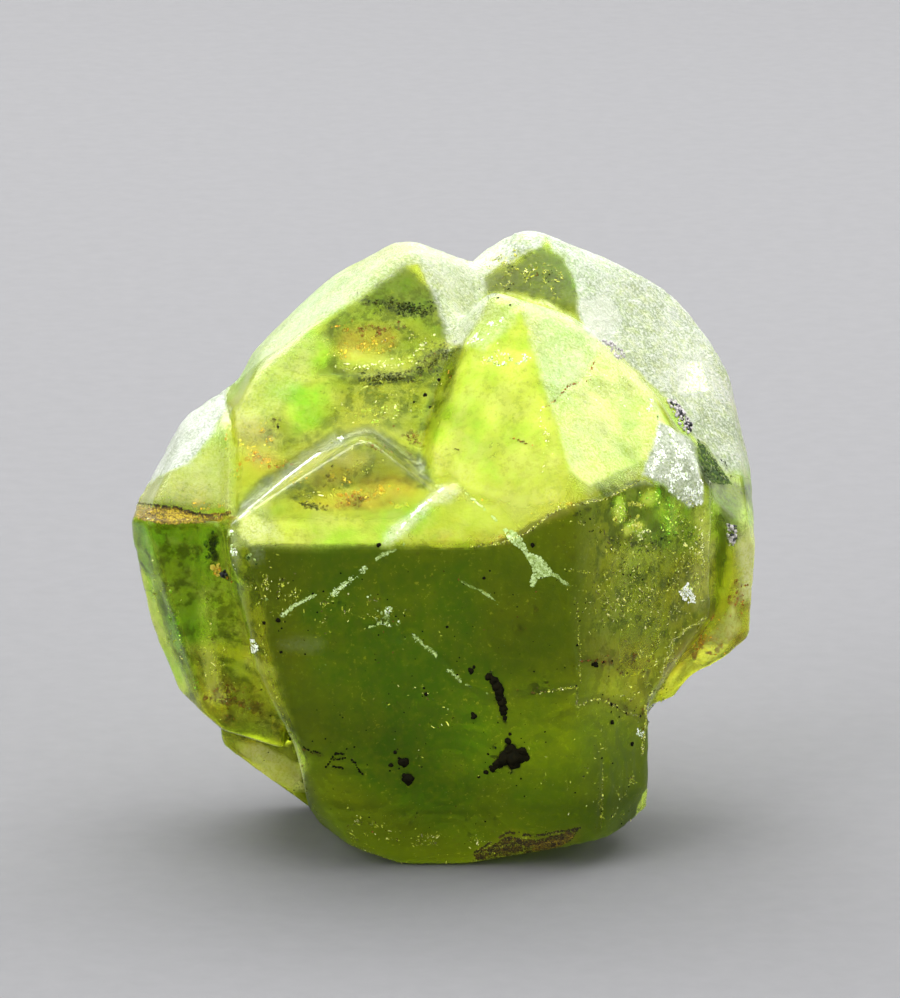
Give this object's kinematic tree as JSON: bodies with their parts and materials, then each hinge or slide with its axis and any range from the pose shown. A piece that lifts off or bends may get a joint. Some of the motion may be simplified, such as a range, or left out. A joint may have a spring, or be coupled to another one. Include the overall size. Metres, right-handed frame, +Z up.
{
  "type": "peridot crystal",
  "caption": "Thumbnail-size cluster of intergrown yellow-green peridot crystals with domed tips, broken off at its foot.",
  "frame": {"origin": "middle of the bounding box's foot, on the surface that the cluster stands on", "axes": "+X to the right along the cluster's width, +Y away from the viewer, +Z up through the crystal tips"},
  "size_m": [0.025, 0.016, 0.0235],
  "materials": {
    "peridot": "clear, natural growth faces with frosted slopes"
  },
  "bodies": {
    "root": {"peridot_crystal_cluster": "peridot"}
  },
  "joints": []
}
